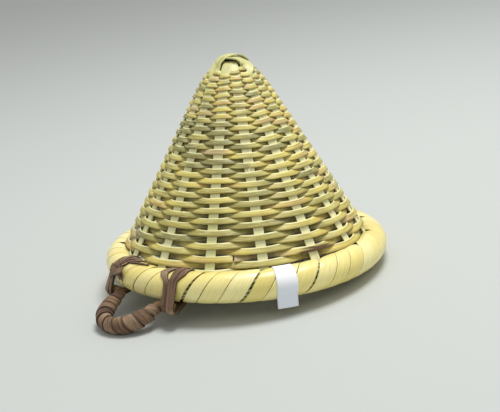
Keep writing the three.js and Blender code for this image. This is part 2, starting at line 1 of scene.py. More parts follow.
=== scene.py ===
# %% [markdown]
# # A bamboo basket
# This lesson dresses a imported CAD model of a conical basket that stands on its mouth: fifteen
# stakes, flat weavers wound round them, a thick bound rim, and a hanging loop wrapped with bark.
# The CAD model is the frame. It fixes every size and place, and the pieces made here give the
# strips their curves, their split edges and their colours.

# %% Load the frame
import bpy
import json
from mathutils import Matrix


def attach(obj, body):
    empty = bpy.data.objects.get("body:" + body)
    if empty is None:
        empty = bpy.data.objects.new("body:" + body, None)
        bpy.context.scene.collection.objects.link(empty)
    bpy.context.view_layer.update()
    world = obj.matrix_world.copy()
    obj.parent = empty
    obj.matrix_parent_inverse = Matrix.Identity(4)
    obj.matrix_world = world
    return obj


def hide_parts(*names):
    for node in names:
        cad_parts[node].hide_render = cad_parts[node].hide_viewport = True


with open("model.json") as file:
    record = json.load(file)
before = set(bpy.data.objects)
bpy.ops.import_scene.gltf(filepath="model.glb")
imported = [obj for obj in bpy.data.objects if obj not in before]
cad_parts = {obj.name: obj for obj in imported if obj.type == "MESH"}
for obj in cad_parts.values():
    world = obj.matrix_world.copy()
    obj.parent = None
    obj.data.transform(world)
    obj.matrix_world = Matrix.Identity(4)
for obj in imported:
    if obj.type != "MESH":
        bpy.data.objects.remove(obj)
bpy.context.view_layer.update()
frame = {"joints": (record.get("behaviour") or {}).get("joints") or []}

# %% [markdown]
# The shapes come from bmesh operators, and `noise` makes the small unevenness of hand work. It
# gives the same number at the same point each time, so the basket is the same in every run.

# %% Tools
import json
from bisect import bisect_left
from math import atan2, cos, degrees, floor, hypot, pi, radians, sin, tan

import bmesh
import bpy
from mathutils import Matrix, Vector, noise

MM = 0.001
UP = Vector((0, 0, 1))

# %% [markdown]
# The basket is modelled upright, with its mouth in the plane z = 0, and then leans back, because
# the loop lies under the rim and lifts it. The hinge of the loop is known in both frames: its
# place on the upright basket, and the joint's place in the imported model. That fixes the matrix
# which carries upright points to their final place.

# %% Where the basket stands
LEAN = 4.4
LOOP_AZIMUTH = -48
HINGE_RADIUS = 121 * MM
HINGE_HEIGHT = -0.5 * MM


def outward(azimuth):
    """Away from the basket's axis. Azimuth 0 is the front, and 90 the right."""
    return Vector((sin(radians(azimuth)), -cos(radians(azimuth)), 0))


def along(azimuth):
    """Along the rim, towards larger azimuths."""
    return Vector((cos(radians(azimuth)), sin(radians(azimuth)), 0))


swing = frame["joints"][0]
hinge_upright = outward(LOOP_AZIMUTH) * HINGE_RADIUS + UP * HINGE_HEIGHT
lean = Matrix.Rotation(radians(LEAN), 4, Vector(swing["axis"]))
BASKET = Matrix.Translation(Vector(swing["pos_m"]) - lean @ hinge_upright) @ lean
print("middle of the mouth, mm", [round(v / MM, 2) for v in BASKET.translation])

# %% [markdown]
# The wall is a straight cone from the middle of the rim, with a rounded crown. Every strip of the
# weave is placed by its azimuth, by its distance up the wall, and by how far it stands out from
# the wall's middle surface.

# %% The wall
RIM_RADIUS = 112.5 * MM
TUBE_RADIUS = 12.5 * MM
SLOPE = radians(60.4)
SHOULDER_RADIUS = 34 * MM
CROWN_HEIGHT = 181 * MM
CROWN_END = 3 * MM
CROWN_STEP = 0.25 * MM

RISE = tan(SLOPE)
SHOULDER_HEIGHT = TUBE_RADIUS + (RIM_RADIUS - SHOULDER_RADIUS) * RISE
CROWN_DROP = CROWN_HEIGHT - SHOULDER_HEIGHT
CROWN_POWER = RISE * SHOULDER_RADIUS / CROWN_DROP


def wall_height(radius):
    if radius >= SHOULDER_RADIUS:
        return TUBE_RADIUS + (RIM_RADIUS - radius) * RISE
    return CROWN_HEIGHT - CROWN_DROP * (radius / SHOULDER_RADIUS) ** CROWN_POWER


def wall_normal(radius):
    """The outward and the upright part of the wall's normal."""
    slope = RISE
    if radius < SHOULDER_RADIUS:
        share = radius / SHOULDER_RADIUS
        slope = CROWN_DROP * CROWN_POWER / SHOULDER_RADIUS * share ** (CROWN_POWER - 1)
    return slope / hypot(slope, 1), 1 / hypot(slope, 1)


def wall_point(azimuth, radius, sideways=0, out=0):
    height = wall_height(radius)
    normal_out, normal_up = wall_normal(radius)
    point = outward(azimuth) * (radius + out * normal_out) + along(azimuth) * sideways
    point.z = height + out * normal_up
    return point


crown_radii = [SHOULDER_RADIUS]
crown_distances = [(RIM_RADIUS - SHOULDER_RADIUS) / cos(SLOPE)]
while crown_radii[-1] > CROWN_END:
    inner = crown_radii[-1] - CROWN_STEP
    climb = hypot(CROWN_STEP, wall_height(inner) - wall_height(crown_radii[-1]))
    crown_radii.append(inner)
    crown_distances.append(crown_distances[-1] + climb)


def radius_at(distance):
    """The wall's radius at a distance up it from the middle of the rim."""
    if distance <= crown_distances[0]:
        return RIM_RADIUS - distance * cos(SLOPE)
    place = min(bisect_left(crown_distances, distance), len(crown_radii) - 1)
    low, high = crown_distances[place - 1], crown_distances[place]
    share = (distance - low) / (high - low)
    return crown_radii[place - 1] - CROWN_STEP * share


def smooth(low, high, value):
    share = min(max((value - low) / (high - low), 0), 1)
    return share * share * (3 - 2 * share)


def mix(low, high, share):
    return low + (high - low) * share


def uneven(x, y, z):
    """Smooth noise between about -1 and 1."""
    return noise.noise(Vector((x, y, z)))


def bend_through(value, xs, ys):
    """A smooth line through a few points, with xs in rising order."""
    if value <= xs[0]:
        return ys[0]
    for i in range(1, len(xs)):
        if value <= xs[i]:
            return mix(ys[i - 1], ys[i], smooth(xs[i - 1], xs[i], value))
    return ys[-1]


print("shoulder height, mm", round(SHOULDER_HEIGHT / MM, 1))

# %% [markdown]
# Nearly everything here is a flat strip. One helper makes them all: a grid whose points are moved
# to where the strip lies, with a UV map in metres that runs along the strip, so that the fibres
# follow it, and a tint for the colour of each stretch. Solidify then gives a strip its thickness,
# and a fine bevel takes the sharpness off its split edges.

# %% Strips and finished pieces
def strip(mesh, columns, rows, place, length, start=0.0, **marks):
    """Adds a strip. place(share, across) gives a point, with across from -1 to 1, and each of
    marks gives a number that its material reads."""
    grain = mesh.loops.layers.uv.get("grain") or mesh.loops.layers.uv.new("grain")
    layers = mesh.verts.layers.float
    layers = {name: layers.get(name) or layers.new(name) for name in marks}
    made = bmesh.ops.create_grid(mesh, x_segments=columns, y_segments=rows, size=1)
    faces = set()
    for vert in made["verts"]:
        faces.update(vert.link_faces)
    for face in faces:
        for loop in face.loops:
            flat = loop.vert.co
            loop[grain].uv = (start + (flat.x + 1) / 2 * length, flat.y)
    for vert in made["verts"]:
        share, across = (vert.co.x + 1) / 2, vert.co.y
        for name, layer in layers.items():
            vert[layer] = marks[name](share, across)
        vert.co = place(share, across)


def finish_piece(name, mesh, material, body, nodes, thickness=0, edge=0):
    mesh.transform(BASKET)
    data = bpy.data.meshes.new(name)
    mesh.to_mesh(data)
    mesh.free()
    data.materials.append(material)
    data.shade_smooth()
    piece = bpy.data.objects.new(name, data)
    bpy.context.scene.collection.objects.link(piece)
    if thickness:
        wall = piece.modifiers.new("thickness", "SOLIDIFY")
        wall.thickness = thickness
        wall.offset = 0
    if edge:
        bevel = piece.modifiers.new("worn edge", "BEVEL")
        bevel.width = edge
        bevel.segments = 2
        bevel.limit_method = "ANGLE"
        bevel.angle_limit = radians(40)
    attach(piece, body)
    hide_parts(*nodes)
    print(name, "faces", len(data.polygons))


# %% [markdown]
# Shader maths reads best as Python. A small class wraps a socket, and its operators add the Math
# nodes, so that `1 - mask` is an expression. Colours are written as the eye reads them, from 0 to
# 255, and turned into the linear values that Blender works with.

# %% Shader sockets
def colour(red, green, blue):
    linear = []
    for part in (red, green, blue):
        share = part / 255
        dark = share <= 0.04045
        linear.append(share / 12.92 if dark else ((share + 0.055) / 1.055) ** 2.4)
    return (*linear, 1)


class Socket:
    """An output of a shader node, or a whole node tree when it has no output."""

    def __init__(self, tree, output=None):
        self.tree = tree
        self.output = output

    def add(self, kind, settings, inputs, output=0):
        node = self.tree.nodes.new(kind)
        for name, value in settings.items():
            if name == "stops":
                while len(node.color_ramp.elements) < len(value):
                    node.color_ramp.elements.new(1)
                for element, (position, shade) in zip(node.color_ramp.elements, value):
                    element.position = position
                    element.color = shade
            else:
                setattr(node, name, value)
        for name, value in inputs.items():
            if isinstance(value, Socket):
                self.tree.links.new(value.output, node.inputs[name])
            else:
                node.inputs[name].default_value = value
        return Socket(self.tree, node.outputs[output])

    def math(self, operation, first, second=0.0):
        return self.add("ShaderNodeMath", {"operation": operation}, {0: first, 1: second})

    def __add__(self, other):
        return self.math("ADD", self, other)

    __radd__ = __add__

    def __sub__(self, other):
        return self.math("SUBTRACT", self, other)

    def __rsub__(self, other):
        return self.math("SUBTRACT", other, self)

    def __mul__(self, other):
        return self.math("MULTIPLY", self, other)

    __rmul__ = __mul__

    def step(self, low, high):
        """0 below low, 1 above high, and smooth between."""
        settings = {"interpolation_type": "SMOOTHSTEP"}
        inputs = {"Value": self, "From Min": low, "From Max": high}
        return self.add("ShaderNodeMapRange", settings, inputs)

    def ramp(self, *stops):
        return self.add("ShaderNodeValToRGB", {"stops": stops}, {"Fac": self})

    def blend(self, other, share, how="MIX"):
        """Mixes two colours."""
        settings = {"data_type": "RGBA", "blend_type": how}
        return self.add("ShaderNodeMix", settings, {0: share, 6: self, 7: other}, 2)

    def mark(self, name):
        """A number that each point of the mesh carries."""
        return self.add("ShaderNodeAttribute", {"attribute_name": name}, {}, "Fac")

    def scaled(self, along_strip, across_strip, detail=3.0, shift=0.0):
        """Noise on a vector, with its own scale along and across the strip."""
        settings = {"operation": "MULTIPLY_ADD"}
        inputs = {0: self, 1: (along_strip, across_strip, 1), 2: (shift, shift, shift)}
        stretched = self.add("ShaderNodeVectorMath", settings, inputs)
        inputs = {"Vector": stretched, "Scale": 1.0, "Detail": detail, "Roughness": 0.6}
        return self.add("ShaderNodeTexNoise", {}, inputs)


def new_surface(name):
    """An empty material, its tree, its strip coordinates and its tint."""
    material = bpy.data.materials.new(name)
    material.use_nodes = True
    material.node_tree.nodes.clear()
    tree = Socket(material.node_tree)
    strip_uv = tree.add("ShaderNodeUVMap", {"uv_map": "grain"}, {})
    return material, tree, strip_uv, tree.mark("tint")


def close_surface(tree, shade, roughness, height, depth, **fixed):
    """Joins colour, roughness and a bump to the shader. fixed holds constant sockets."""
    bump = tree.add("ShaderNodeBump", {}, {"Height": height, "Distance": depth})
    inputs = {"Base Color": shade, "Roughness": roughness, "Normal": bump}
    inputs.update({name.replace("_", " "): value for name, value in fixed.items()})
    shader = tree.add("ShaderNodeBsdfPrincipled", {}, inputs)
    output = tree.tree.nodes.new("ShaderNodeOutputMaterial")
    tree.tree.links.new(shader.output, output.inputs["Surface"])


# %% [markdown]
# Split bamboo is a bundle of fibres: fine bright and dark lines run along each strip and almost
# never across it. A noise that is stretched along the strip gives them. Age has made some strips
# grey-green and some straw or ochre, so the tint of each stretch picks its colour from a ramp.

# %% The weavers' bamboo
SAGE = colour(138, 136, 80)
OLIVE = colour(170, 162, 82)
STRAW = colour(202, 190, 104)
YELLOW = colour(220, 203, 98)
SAND = colour(202, 174, 96)
ROSE = colour(198, 178, 130)
PALE_FIBRE_AND_HIGHLIGHT = colour(250, 246, 188)
DARK_FIBRE_AND_SHADE = colour(128, 104, 38)
SHADE_BROWN = colour(62, 48, 6)
STAIN = colour(70, 26, 10)


def weaver_surface():
    material, tree, strip_uv, tint = new_surface("weathered bamboo")
    fibres = strip_uv.scaled(30, 2.6, 5)
    fine = strip_uv.scaled(110, 6, 3, 7.3)
    patches = strip_uv.scaled(30, 0.6, 3, 3.1)
    shade = (tint + (patches - 0.5) * 0.5).ramp(
        (0.0, SAGE), (0.2, OLIVE), (0.42, STRAW), (0.62, YELLOW), (0.82, SAND), (1.0, ROSE))
    shade = shade.blend(DARK_FIBRE_AND_SHADE, (1 - fibres.step(0.34, 0.54)) * 0.6)
    shade = shade.blend(PALE_FIBRE_AND_HIGHLIGHT, fine.step(0.5, 0.68) * 0.45)
    across = tree.add("ShaderNodeSeparateXYZ", {}, {0: strip_uv}, 1)
    # Painted shade along a strip's lower edge and a painted highlight along its upper edge, as from
    # a lamp above
    shade = shade.blend(DARK_FIBRE_AND_SHADE, (0 - across + (fibres - 0.5) * 0.6).step(0.2, 1) * 0.45)
    shade = shade.blend(PALE_FIBRE_AND_HIGHLIGHT, (across + (fibres - 0.5) * 0.6).step(0.5, 0.85) * 0.75)
    # Painted shade behind the stakes, where a strip lies deep in the weave
    shade = shade.blend(SHADE_BROWN, tree.mark("recess") * 0.6)
    speckle = (tree.mark("stain") + (fibres - 0.5) * 1.6).step(0.35, 0.6)
    shade = shade.blend(STAIN, speckle * 0.9)
    roughness = 0.42 + fibres * 0.2
    close_surface(tree, shade, roughness, fibres + fine * 0.5, 0.12 * MM)
    return material


WEAVER_BAMBOO = weaver_surface()

# %% [markdown]
# The stakes are pale inside wood of the bamboo, smoother and creamier than the weavers.

# %% The stakes' bamboo
SHADED_CROWN_GREEN = colour(206, 203, 138)
GREEN_CREAM = colour(234, 233, 164)
CREAM = colour(246, 243, 190)
WARM_CREAM = colour(238, 227, 168)


def stake_surface():
    material, tree, strip_uv, tint = new_surface("pale bamboo")
    fibres = strip_uv.scaled(40, 5, 4)
    patches = strip_uv.scaled(30, 0.8, 2, 5.7)
    shade = (tint + (patches - 0.5) * 0.4).ramp(
        (0.05, SHADED_CROWN_GREEN), (0.4, GREEN_CREAM), (0.6, CREAM), (0.9, WARM_CREAM))
    shade = shade.blend(DARK_FIBRE_AND_SHADE, (1 - fibres.step(0.25, 0.5)) * 0.2)
    # Painted shade on the low strips in the crown's hollow
    shade = shade.blend(SHADE_BROWN, tree.mark("recess"))
    close_surface(tree, shade, 0.36 + fibres * 0.15, fibres, 0.08 * MM)
    return material


STAKE_BAMBOO = stake_surface()

# %% [markdown]
# ## Stakes
# Fifteen stakes rise from the rim. Eight of them are the legs of four long strips which cross over
# the crown, one on top of the other, and the other seven end under these. A stake is a strip along
# a path up the wall; over the crown the path turns smoothly from one leg's direction to the
# other's, lifted by the strips below it, and the lifted strips lean a little to the right.

# %% Stake paths
STAKES = 15
STAKE_ANGLE = 360 / STAKES
FIRST_STAKE = 7.3
STAKE_FOOT = 8 * MM
STAKE_THICKNESS = 1.1 * MM
STRIP_CROWN = 0.12 * MM
TIP_RADIUS = 6 * MM
LIFT_RADII = [0, 4 * MM, 6.5 * MM, 11.5 * MM, 15 * MM, 21 * MM]
CROWN_TURN = 15 * MM
SHIFT_RADII = [-24 * MM, -14 * MM, 0, 14 * MM, 24 * MM]
LIFT_LEAN = 0.3
WIDTH_RADII = [0, 6 * MM, 9 * MM, 14 * MM, 26 * MM]

# A single stake's widths at WIDTH_RADII and its lifts at LIFT_RADII, in millimetres
SINGLE_WIDTHS = (6, 6, 7, 8, 8.3)
SINGLE_LIFTS = (-2.5, -1.5, -0.3, 0.2, 0, 0)

# The single stake that shows as a left shoulder of the crown lies over the low strips
SHOULDER_STAKE = 12
SHOULDER_LIFTS = (4.6, 4.6, 4.4, 3.4, 1.2, 0)

# Each crossing strip: its two legs, then in millimetres its lifts at LIFT_RADII, how far it is
# shifted sideways at SHIFT_RADII, and its widths at WIDTH_RADII
CROSSINGS = [
    ((14, 7), (-3.5, -2.5, -0.3, 0.3, 0, 0), (0, 0, 0, 0, 0), (13, 13, 7.5, 8.3, 8.3)),
    ((3, 11), (-1.2, -1, 0.4, 0.8, 0, 0), (0, 0, 0, 0, 0), (13, 13, 7.5, 8.3, 8.3)),
    ((1, 9), (2.3, 2.4, 2.3, 1.6, 0.7, 0), (0, 0, -3.5, 5.5, 1), (12.5, 12.5, 12.5, 12, 8.3)),
    ((13, 5), (3.8, 3.9, 3.9, 3.1, 1.3, 0), (0, 0, -0.5, -4.5, -1.5), (11, 11, 10.5, 9.5, 8.3)),
]


def stake_azimuth(number):
    return FIRST_STAKE + STAKE_ANGLE * number


def lift_at(radius, lifts):
    return bend_through(radius, LIFT_RADII, [lift * MM for lift in lifts])


def leg_path(number, lifts):
    """A path up one leg, for a radius."""
    return lambda radius: wall_point(stake_azimuth(number), radius, 0, lift_at(radius, lifts))


def crossing_path(legs, lifts, shifts):
    """A path for a radius that is positive on the first leg and negative on the second."""
    first, second = (outward(stake_azimuth(leg)) for leg in legs)

    def path(radius):
        direction = (-second).lerp(first, smooth(-CROWN_TURN, CROWN_TURN, radius)).normalized()
        shift = bend_through(radius, SHIFT_RADII, [shift * MM for shift in shifts])
        lift = lift_at(abs(radius), lifts)
        size = hypot(radius, shift)
        normal_out, normal_up = wall_normal(size)
        point = direction * radius + UP.cross(direction) * shift
        point *= 1 + lift * normal_out / max(size, MM)
        point.x += LIFT_LEAN * max(lift, 0)
        point.z = wall_height(size) + lift * normal_up
        return point

    return path


def stake_width(radius, widths=SINGLE_WIDTHS):
    """The width at a radius, which is negative past the crown."""
    return bend_through(abs(radius), WIDTH_RADII, widths) * MM


def lay_strip(path, width):
    """Turns a path of one number into a strip's place: it lies flat on the basket."""
    step = 0.2 * MM

    def place(value, across):
        middle = path(value)
        run = path(value + step) - path(value - step)
        sideways = UP.cross(run).normalized()
        face = run.cross(sideways).normalized()
        if face.z < 0:
            face = -face
        swell = STRIP_CROWN * (1 - across ** 2)
        return middle + sideways * (across * width(value) / 2) + face * swell

    return place


# %% [markdown]
# Near the crown the stakes are greener, and darker with painted shade. The strips that pass low
# there lie in a hollow between the others, where hardly any light gets in, so a painted shade on
# them darkens it.

# %% Make the stakes
STAKE_COLUMNS = 96
STRIP_ROWS = 4
STAKE_EDGE = 0.2 * MM
STAKE_PATTERN_STEP = 0.37
STAKE_TINT = 0.6
STAKE_CHANGE = 0.4
CROWN_CHANGE = 0.7
GREEN_RADII = (24 * MM, 34 * MM)
HOLLOW_SHADE_RADII = (5 * MM, 8.5 * MM)
RIM_END = RIM_RADIUS + (TUBE_RADIUS - STAKE_FOOT) / RISE
crossing_legs = [leg for crossing in CROSSINGS for leg in crossing[0]]
single_legs = [number for number in range(STAKES) if number not in crossing_legs]


def make_stake(path, end, seed, low, widths=SINGLE_WIDTHS):
    """A stake from the rim to a last radius. A low one has painted shade where the crown's hollow
    is.
    """
    mesh = bmesh.new()
    place = lay_strip(path, lambda radius: stake_width(radius, widths))

    def tint(share, across):
        # Toward the crown the tint turns greener and darker: painted shade on the green of the wood
        crown = 1 - smooth(*GREEN_RADII, abs(mix(RIM_END, end, share)))
        own = STAKE_CHANGE * uneven(seed * 3.7, share * 2, 0)
        return STAKE_TINT + own - CROWN_CHANGE * crown

    def recess(share, across):
        return low * (1 - smooth(*HOLLOW_SHADE_RADII, abs(mix(RIM_END, end, share))))

    strip(mesh, STAKE_COLUMNS, STRIP_ROWS,
          lambda share, across: place(mix(RIM_END, end, share), across),
          2 * abs(RIM_END - end), seed * STAKE_PATTERN_STEP, tint=tint, recess=recess)
    return mesh


for index, number in enumerate(single_legs):
    shoulder = number == SHOULDER_STAKE
    path = leg_path(number, SHOULDER_LIFTS if shoulder else SINGLE_LIFTS)
    mesh = make_stake(path, TIP_RADIUS, number, 0 if shoulder else 1)
    finish_piece(f"stake_{index + 1}", mesh, STAKE_BAMBOO, "basket",
                 [f"single_stake_{index + 1}"], STAKE_THICKNESS, STAKE_EDGE)
for index, (legs, lifts, shifts, widths) in enumerate(CROSSINGS):
    low = 1 if max(lifts) < 1 else 0
    mesh = make_stake(crossing_path(legs, lifts, shifts), -RIM_END, legs[0], low, widths)
    finish_piece(f"crossing_{index + 1}", mesh, STAKE_BAMBOO, "basket",
                 [f"crossing_stake_{index + 1}"], STAKE_THICKNESS, STAKE_EDGE)

# %% [markdown]
# ## Weavers
# One long line winds down the cone, over one stake and under the next. The number of stakes is
# odd, so it changes sides by itself from round to round. The line is counted in stakes passed:
# even numbers pass in front. The rounds lie about 3 mm apart near the top and 5.6 mm at the
# bottom. The strips are wider than that near the top, so each one laps over the one above it like
# a shingle, with its lower edge out. A stake pushes a strip straight outwards, not up the slope.

# %% The weave's line
LINE_START = 188.2 * MM
PITCH_ROUNDS = [-1, 12, 18, 34, 37, 43]
PITCHES = [3.15, 3.1, 4.1, 4.25, 5.4, 5.6]
TAPE_WIDTHS = [3.7, 3.75, 4.35, 4.6, 4.9, 5.0]
WAVES = [1.2, 1.35, 1.45, 1.7, 1.85, 1.9]
TAPE_THICKNESS = 0.9 * MM
TAPE_EDGE = 0.15 * MM
WEAVE_BOTTOM = 12.4 * MM

# TILT leans a strip's lower edge out, and EARLY_DIVE turns its upper edge inwards sooner. FLATNESS
# widens the waves. CHORD_SAG pulls a strip in between two stakes, where it runs nearly straight,
# and LEAST_NORMAL limits the push outwards where the wall lies flat near the crown.
TILT = tan(radians(8))
EARLY_DIVE = 0.12
FLATNESS = 1.5
CHORD_SAG = 0.35 * (1 - cos(radians(STAKE_ANGLE / 2)))
LEAST_NORMAL = 0.75

# How far the rounds stray up or down, in millimetres: all together, and each on its own
SHARED_WAVER = 0.8
OWN_WAVER = 0.35


def at_round(rounds, values):
    """A value that changes evenly between PITCH_ROUNDS. The list is in millimetres."""
    for i in range(1, len(PITCH_ROUNDS)):
        if rounds <= PITCH_ROUNDS[i]:
            share = (rounds - PITCH_ROUNDS[i - 1]) / (PITCH_ROUNDS[i] - PITCH_ROUNDS[i - 1])
            return mix(values[i - 1], values[i], share) * MM
    return values[-1] * MM


def line_distance(rounds):
    """How far up the wall the line lies after a number of rounds."""
    distance = LINE_START
    for start, end in zip(PITCH_ROUNDS, PITCH_ROUNDS[1:]):
        if start < rounds:
            end = min(end, rounds)
            distance -= (end - start) * (at_round(start, PITCHES) + at_round(end, PITCHES)) / 2
    return distance


def wave_at(count, across=0):
    """1 in front of a stake and -1 behind one. The upper edge turns inwards first."""
    beyond = abs(count - 2 * round(count / 2))
    wave = cos(pi * min(beyond + EARLY_DIVE * across * sin(pi * beyond), 1))
    return wave * (FLATNESS - (FLATNESS - 1) * wave * wave)


def weaver_point(count, across):
    rounds = count / STAKES
    azimuth = FIRST_STAKE + STAKE_ANGLE * count
    middle = line_distance(rounds)
    radius = radius_at(middle)
    beside = abs(count - round(count))
    out = at_round(rounds, WAVES) * wave_at(count, across)
    out -= radius * CHORD_SAG * (1 - cos(2 * pi * beside)) / 2
    half = at_round(rounds, TAPE_WIDTHS) / 2
    out += STRIP_CROWN * (1 - across ** 2) - across * half * TILT
    around = outward(azimuth) * 3
    shared = uneven(around.x, around.y, middle / 0.04) * SHARED_WAVER * MM
    own = uneven(around.x * 1.7, around.y * 1.7, rounds * 3.1) * OWN_WAVER * MM
    place = radius_at(max(middle + across * half + shared + own, WEAVE_BOTTOM))
    point = wall_point(azimuth, place)
    return point + outward(azimuth) * (out / max(wall_normal(place)[0], LEAST_NORMAL))


print("the line ends, mm up the wall", round(line_distance(PITCH_ROUNDS[-1]) / MM, 1))

# %% [markdown]
# The line is cut into fourteen strips. A weaver's ends are tucked behind a stake, at an odd count,
# except for three joints that are seen in the open.

# %% Make the weavers
STRIP_ENDS = [-15, 45, 104.5, 151, 197, 241, 281, 321, 360, 411, 461, 513, 563, 614.45, 645]
END_GAP = 0.015
COLUMNS_PER_STAKE = 12
TAPE_PATTERN_STEP = 1.31

# The tint runs from green to ochre. It changes along a strip and from side to side, it is greener
# on the left between some rounds, and warmer from one round on.
TINT_MIDDLE = 0.47
STRIP_CHANGE = 0.42
SIDE_CHANGE = 0.8
GREEN_CHANGE = 0.3
GREEN_START = (12, 15)
GREEN_END = (19, 23)
WARM_CHANGE = 0.15
WARM_START = (37, 41)

# Behind a stake a strip has painted shade, from a low wave on, and less of it in the first rounds
SHADE_WAVES = (-1, -0.75)
SHADE_ROUNDS = (6, 16)
TOP_SHADE = 0.2

# A dark spot on the right of the front, low down
STAIN_AZIMUTH = 34.5
STAIN_HALF_ANGLE = 17
STAIN_DISTANCE = 21 * MM
STAIN_HALF_HEIGHT = 5 * MM


def weaver_tint(count, seed):
    rounds = count / STAKES
    azimuth = FIRST_STAKE + STAKE_ANGLE * count
    around = outward(azimuth)
    tint = TINT_MIDDLE + STRIP_CHANGE * uneven(count * 0.23, seed * 1.9, 0.5)
    tint += SIDE_CHANGE * uneven(around.x * 1.7, around.y * 1.7, rounds * 1.3)
    tint -= (GREEN_CHANGE * smooth(*GREEN_START, rounds) * (1 - smooth(*GREEN_END, rounds))
             * (1 - around.x))
    tint += WARM_CHANGE * smooth(*WARM_START, rounds)
    return tint


def weaver_painted_shade(count):
    """How much painted shade a weaver has behind a stake. Near the top the weave is too close for
    hollows.
    """
    behind = 1 - smooth(*SHADE_WAVES, wave_at(count))
    return behind * mix(TOP_SHADE, 1, smooth(*SHADE_ROUNDS, count / STAKES))


def weaver_stain(count, across):
    """1 in the middle of the dark spot and 0 outside it."""
    azimuth = (FIRST_STAKE + STAKE_ANGLE * count + 180) % 360 - 180
    middle = line_distance(count / STAKES) + across * 2 * MM
    spread = hypot((azimuth - STAIN_AZIMUTH) / STAIN_HALF_ANGLE,
                   (middle - STAIN_DISTANCE) / STAIN_HALF_HEIGHT)
    return max(0, 1 - spread)


for index, (first, last) in enumerate(zip(STRIP_ENDS, STRIP_ENDS[1:])):
    first += END_GAP
    last -= END_GAP
    mesh = bmesh.new()
    middle_radius = radius_at(line_distance((first + last) / 2 / STAKES))
    length = (last - first) * radians(STAKE_ANGLE) * middle_radius
    columns = round((last - first) * COLUMNS_PER_STAKE)
    strip(mesh, columns, STRIP_ROWS,
          lambda share, across: weaver_point(mix(first, last, share), across),
          length, index * TAPE_PATTERN_STEP,
          tint=lambda share, across: weaver_tint(mix(first, last, share), index),
          recess=lambda share, across: weaver_painted_shade(mix(first, last, share)),
          stain=lambda share, across: weaver_stain(mix(first, last, share), across))
    name = f"weaver_{index + 1:02d}"
    finish_piece("woven_" + name, mesh, WEAVER_BAMBOO, "basket", [name],
                 TAPE_THICKNESS, TAPE_EDGE)

# %% [markdown]
# ## Rim
# Under the binding lies a bundle of split splints, half outside the stakes and half inside. In the
# gaps of the binding it shows as green and cream rods. A ridged half-round outline, spun round the
# basket's axis, makes each half.

# %% Splints
SPLINT_RADIUS = 11.0 * MM
SPLINT_RIDGE = 1.2 * MM
SPLINTS = 8
SPLINT_POINTS = 8
SPLINT_MARGIN = 4
SPLINT_ARC = 180 - 2 * SPLINT_MARGIN
GROOVE_EDGES = (0.06, 0.2)
SPIN_STEPS = 180
SPLINT_SHADOW = colour(52, 46, 26)
SPLINT_GREEN = colour(120, 128, 66)
SPLINT_CREAM = colour(226, 220, 166)
SPLINT_TAN = colour(196, 180, 120)


def splint_surface():
    material, tree, _, tint = new_surface("splints")
    place = tree.add("ShaderNodeTexCoord", {}, {}, "Object")
    fibres = place.scaled(500, 500, 3)
    shade = tint.ramp(
        (0.0, SPLINT_SHADOW), (0.2, SPLINT_GREEN), (0.45, SPLINT_CREAM), (0.9, SPLINT_TAN))
    shade = shade.blend(DARK_FIBRE_AND_SHADE, fibres.step(0.5, 0.8) * 0.4)
    close_surface(tree, shade, 0.45, fibres, 0.05 * MM)
    return material


SPLINT_BAMBOO = splint_surface()
FOOT_ANGLE = 180 - degrees(SLOPE)


def splint_half(name, start, node):
    mesh = bmesh.new()
    count = SPLINTS * SPLINT_POINTS
    outline = []
    for i in range(count + 1):
        angle = radians(start + SPLINT_MARGIN + SPLINT_ARC * i / count)
        ridge = abs(sin(pi * i / SPLINT_POINTS))
        radius = SPLINT_RADIUS - SPLINT_RIDGE * (1 - ridge)
        outline.append(Vector((RIM_RADIUS + radius * cos(angle), 0,
                               TUBE_RADIUS + radius * sin(angle))))
    # Ring by ring, because bmesh.ops.spin gives its faces in another order on each run
    rings = []
    for step in range(SPIN_STEPS):
        turn = Matrix.Rotation(2 * pi * step / SPIN_STEPS, 3, "Z")
        rings.append([mesh.verts.new(turn @ point) for point in outline])
    for ring, following in zip(rings, rings[1:] + rings[:1]):
        for corners in zip(ring, ring[1:] + ring[:1], following[1:] + following[:1], following):
            mesh.faces.new(corners)
    bmesh.ops.recalc_face_normals(mesh, faces=mesh.faces)
    tints = mesh.verts.layers.float.new("tint")
    for vert in mesh.verts:
        across = hypot(vert.co.x, vert.co.y) - RIM_RADIUS
        angle = (degrees(atan2(vert.co.z - TUBE_RADIUS, across)) - start) % 360
        rod, part = divmod((angle - SPLINT_MARGIN) / SPLINT_ARC * SPLINTS, 1)
        # Painted shade darkens the grooves between the rods
        groove = 1 - smooth(*GROOVE_EDGES, min(part, 1 - part))
        vert[tints] = (0.55 + 0.8 * uneven(rod * 5.3, start, 0.4)) * (1 - groove)
    finish_piece(name, mesh, SPLINT_BAMBOO, "basket", [node])


splint_half("outer_splints", FOOT_ANGLE - 180, "rim_outer_hoop")
splint_half("inner_splints", FOOT_ANGLE, "rim_inner_hoop")

# %% [markdown]
# The rim is bound with three long strips of glossy yellow peel, wound side by side. Each turn
# moves on by one stake, so every third seam meets a stake, and the turns beside it are notched
# there. The seams of hand work don't keep an even step: one list gives how far the ones at the
# front stray, in degrees, and another where a gap stands open between two turns, in millimetres.

# %% The binding's seams
BINDING_STRIPS = 3
SEAMS = STAKES * BINDING_STRIPS
TURNS = STAKES
SEAM_STEP = STAKE_ANGLE / BINDING_STRIPS

# Seams are numbered from the front, to the left and the right. FIRST_SEAM is the left edge of the
# first strip in its first turn, and FIRST_SHIFTED the one that SEAM_SHIFTS starts with.
FIRST_SEAM = -4
FIRST_SHIFTED = -7
SEAM_SHIFTS = [-0.4, -1.3, 0, 0.9, -0.7, -0.5, 0.7, 0.4, 0.5, 1.8, 2.7, 2.0, 2.5, 2.4, 2.0]
OPEN_SEAMS = {-4: 2.6, -2: 0.5, -1: 2.7, 0: 0.6, 2: 2.4, 3: 1.0, 5: 1.2}

